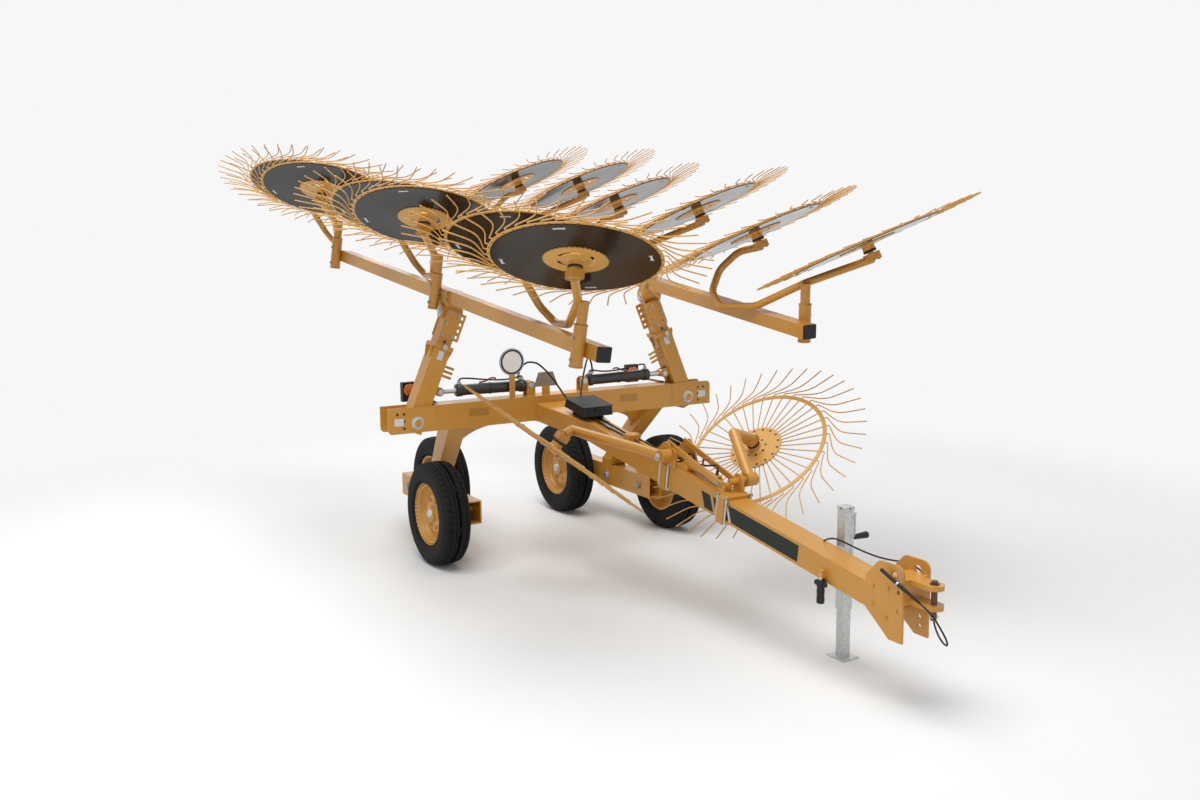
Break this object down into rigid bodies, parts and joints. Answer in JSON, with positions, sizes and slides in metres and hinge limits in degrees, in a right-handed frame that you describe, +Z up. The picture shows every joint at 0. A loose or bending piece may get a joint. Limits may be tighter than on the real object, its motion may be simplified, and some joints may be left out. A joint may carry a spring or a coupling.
{
  "type": "carted wheel rake",
  "caption": "V-type carted wheel rake folded for transport: sloping tongue, cross frame on walking beams, folding masts and rake beams with paired tined wheels, kicker wheels and a jack.",
  "frame": {"origin": "middle of the machine's box, on the ground it stands on", "axes": "+X forward to the hitch, +Y to the machine's left, +Z up"},
  "size_m": [6.8113, 3.5972, 2.9523],
  "materials": {
    "black_plastic": "moulded black plastic",
    "black_rubber": "black rubber",
    "cylinder_black": "satin black paint",
    "galvanised": "zinc plated steel",
    "guard_black": "glossy black sheet",
    "lamp_housing": "moulded black plastic with an amber lens",
    "ochre_paint": "semi-gloss ochre machine paint",
    "rod_chrome": "hard chrome",
    "sign_white": "white painted sheet",
    "tyre_rubber": "matt black rubber"
  },
  "bodies": {
    "chassis": {"axle_legs": "ochre_paint", "cable": "black_rubber", "cable_plug": "black_rubber", "cross_frame": "ochre_paint", "document_box": "black_plastic", "hitch_head": "ochre_paint", "hydraulic_hoses": "black_rubber", "jack_tube": "galvanised", "kicker_mount": "ochre_paint", "lamps": "lamp_housing", "tongue": "ochre_paint", "walking_beams": "ochre_paint", "warning_signs": "sign_white"},
    "road_wheel_front_right": {"tyre_front_right": "tyre_rubber", "rim_front_right": "ochre_paint"},
    "road_wheel_rear_right": {"tyre_rear_right": "tyre_rubber", "rim_rear_right": "ochre_paint"},
    "road_wheel_front_left": {"tyre_front_left": "tyre_rubber", "rim_front_left": "ochre_paint"},
    "road_wheel_rear_left": {"tyre_rear_left": "tyre_rubber", "rim_rear_left": "ochre_paint"},
    "mast_right": {"mast_right": "ochre_paint", "rake_beam_right": "ochre_paint", "rake_arms_right": "ochre_paint"},
    "rake_wheel_right_1": {"rake_wheel_right_1": "ochre_paint", "wind_guard_right_1": "guard_black"},
    "rake_wheel_right_2": {"rake_wheel_right_2": "ochre_paint", "wind_guard_right_2": "guard_black"},
    "rake_wheel_right_3": {"rake_wheel_right_3": "ochre_paint", "wind_guard_right_3": "guard_black"},
    "rake_wheel_right_4": {"rake_wheel_right_4": "ochre_paint", "wind_guard_right_4": "guard_black"},
    "rake_wheel_right_5": {"rake_wheel_right_5": "ochre_paint", "wind_guard_right_5": "guard_black"},
    "rake_wheel_right_6": {"rake_wheel_right_6": "ochre_paint", "wind_guard_right_6": "guard_black"},
    "kicker_arm_right": {"kicker_arm_right": "ochre_paint"},
    "kicker_wheel_right": {"kicker_wheel_right": "ochre_paint"},
    "fold_cylinder_right": {"fold_cylinder_right": "cylinder_black"},
    "fold_rod_right": {"fold_rod_right": "rod_chrome"},
    "mast_left": {"mast_left": "ochre_paint", "rake_beam_left": "ochre_paint", "rake_arms_left": "ochre_paint"},
    "rake_wheel_left_1": {"rake_wheel_left_1": "ochre_paint", "wind_guard_left_1": "guard_black"},
    "rake_wheel_left_2": {"rake_wheel_left_2": "ochre_paint", "wind_guard_left_2": "guard_black"},
    "rake_wheel_left_3": {"rake_wheel_left_3": "ochre_paint", "wind_guard_left_3": "guard_black"},
    "rake_wheel_left_4": {"rake_wheel_left_4": "ochre_paint", "wind_guard_left_4": "guard_black"},
    "rake_wheel_left_5": {"rake_wheel_left_5": "ochre_paint", "wind_guard_left_5": "guard_black"},
    "rake_wheel_left_6": {"rake_wheel_left_6": "ochre_paint", "wind_guard_left_6": "guard_black"},
    "kicker_arm_left": {"kicker_arm_left": "ochre_paint"},
    "kicker_wheel_left": {"kicker_wheel_left": "ochre_paint"},
    "fold_cylinder_left": {"fold_cylinder_left": "cylinder_black"},
    "fold_rod_left": {"fold_rod_left": "rod_chrome"},
    "jack_leg": {"jack_leg": "galvanised"}
  },
  "joints": [
    {"name": "spin_front_right", "type": "hinge", "parent": "chassis", "child": "road_wheel_front_right", "pos_m": [-0.23371, -0.936, 0.35], "axis": [0, 1, 0], "continuous": true},
    {"name": "spin_rear_right", "type": "hinge", "parent": "chassis", "child": "road_wheel_rear_right", "pos_m": [-1.11771, -0.53, 0.35], "axis": [0, 1, 0], "continuous": true},
    {"name": "spin_front_left", "type": "hinge", "parent": "chassis", "child": "road_wheel_front_left", "pos_m": [-0.23371, 0.936, 0.35], "axis": [0, 1, 0], "continuous": true},
    {"name": "spin_rear_left", "type": "hinge", "parent": "chassis", "child": "road_wheel_rear_left", "pos_m": [-1.11771, 0.53, 0.35], "axis": [0, 1, 0], "continuous": true},
    {"name": "fold_right", "type": "hinge", "parent": "chassis", "child": "mast_right", "pos_m": [-0.26071, -1.087, 0.987], "axis": [1, 0, 0], "range_deg": [0, 104]},
    {"name": "rake_spin_right_1", "type": "hinge", "parent": "mast_right", "child": "rake_wheel_right_1", "pos_m": [1.77436, -0.9974, 2.10522], "axis": [-0.314, 0.261, 0.9129], "continuous": true},
    {"name": "rake_spin_right_2", "type": "hinge", "parent": "mast_right", "child": "rake_wheel_right_2", "pos_m": [0.90495, -0.84706, 2.16823], "axis": [-0.314, 0.261, 0.9129], "continuous": true},
    {"name": "rake_spin_right_3", "type": "hinge", "parent": "mast_right", "child": "rake_wheel_right_3", "pos_m": [-0.03102, -1.05918, 2.32702], "axis": [-0.314, 0.261, 0.9129], "continuous": true},
    {"name": "rake_spin_right_4", "type": "hinge", "parent": "mast_right", "child": "rake_wheel_right_4", "pos_m": [-0.90043, -0.90885, 2.39003], "axis": [-0.314, 0.261, 0.9129], "continuous": true},
    {"name": "rake_spin_right_5", "type": "hinge", "parent": "mast_right", "child": "rake_wheel_right_5", "pos_m": [-1.8364, -1.12096, 2.54882], "axis": [-0.314, 0.261, 0.9129], "continuous": true},
    {"name": "rake_spin_right_6", "type": "hinge", "parent": "mast_right", "child": "rake_wheel_right_6", "pos_m": [-2.7058, -0.97063, 2.61184], "axis": [-0.314, 0.261, 0.9129], "continuous": true},
    {"name": "kicker_lift_right", "type": "hinge", "parent": "chassis", "child": "kicker_arm_right", "pos_m": [1.29129, 0, 0.905], "axis": [0, -1, 0], "range_deg": [0, 30]},
    {"name": "kicker_spin_right", "type": "hinge", "parent": "kicker_arm_right", "child": "kicker_wheel_right", "pos_m": [0.54629, -0.466, 0.866], "axis": [-0.1299, -0.5997, -0.7896], "continuous": true},
    {"name": "cylinder_swing_right", "type": "hinge", "parent": "chassis", "child": "fold_cylinder_right", "pos_m": [-0.26071, -0.215, 1.165], "axis": [1, 0, 0], "range_deg": [-0.1, 3.36]},
    {"name": "rod_slide_right", "type": "slide", "parent": "fold_cylinder_right", "child": "fold_rod_right", "axis": [0, -0.9999, 0.0103], "range_m": [-0.002, 0.4148]},
    {"name": "fold_left", "type": "hinge", "parent": "chassis", "child": "mast_left", "pos_m": [-0.26071, 1.087, 0.987], "axis": [-1, 0, 0], "range_deg": [0, 104]},
    {"name": "rake_spin_left_1", "type": "hinge", "parent": "mast_left", "child": "rake_wheel_left_1", "pos_m": [1.77436, 0.9974, 2.15322], "axis": [-0.314, -0.261, 0.9129], "continuous": true},
    {"name": "rake_spin_left_2", "type": "hinge", "parent": "mast_left", "child": "rake_wheel_left_2", "pos_m": [0.90495, 0.84706, 2.21623], "axis": [-0.314, -0.261, 0.9129], "continuous": true},
    {"name": "rake_spin_left_3", "type": "hinge", "parent": "mast_left", "child": "rake_wheel_left_3", "pos_m": [-0.03102, 1.05918, 2.37502], "axis": [-0.314, -0.261, 0.9129], "continuous": true},
    {"name": "rake_spin_left_4", "type": "hinge", "parent": "mast_left", "child": "rake_wheel_left_4", "pos_m": [-0.90043, 0.90885, 2.43803], "axis": [-0.314, -0.261, 0.9129], "continuous": true},
    {"name": "rake_spin_left_5", "type": "hinge", "parent": "mast_left", "child": "rake_wheel_left_5", "pos_m": [-1.8364, 1.12096, 2.59682], "axis": [-0.314, -0.261, 0.9129], "continuous": true},
    {"name": "rake_spin_left_6", "type": "hinge", "parent": "mast_left", "child": "rake_wheel_left_6", "pos_m": [-2.7058, 0.97063, 2.65984], "axis": [-0.314, -0.261, 0.9129], "continuous": true},
    {"name": "kicker_lift_left", "type": "hinge", "parent": "chassis", "child": "kicker_arm_left", "pos_m": [1.76429, 0, 0.818], "axis": [0, -1, 0], "range_deg": [0, 30]},
    {"name": "kicker_spin_left", "type": "hinge", "parent": "kicker_arm_left", "child": "kicker_wheel_left", "pos_m": [1.39829, 0.484, 0.902], "axis": [-0.15, 0.6201, -0.7701], "continuous": true},
    {"name": "cylinder_swing_left", "type": "hinge", "parent": "chassis", "child": "fold_cylinder_left", "pos_m": [-0.26071, 0.215, 1.165], "axis": [-1, 0, 0], "range_deg": [-0.1, 3.36]},
    {"name": "rod_slide_left", "type": "slide", "parent": "fold_cylinder_left", "child": "fold_rod_left", "axis": [0, 0.9999, 0.0103], "range_m": [-0.002, 0.4148]},
    {"name": "jack_slide", "type": "slide", "parent": "chassis", "child": "jack_leg", "axis": [0, 0, 1], "range_m": [0, 0.19]}
  ],
  "couplings": [
    {"joint": "cylinder_swing_right", "follows": "fold_right", "ratio": 0.027518},
    {"joint": "rod_slide_right", "follows": "fold_right", "m_per_rad": 0.22576},
    {"joint": "cylinder_swing_left", "follows": "fold_left", "ratio": 0.027518},
    {"joint": "rod_slide_left", "follows": "fold_left", "m_per_rad": 0.22576}
  ]
}
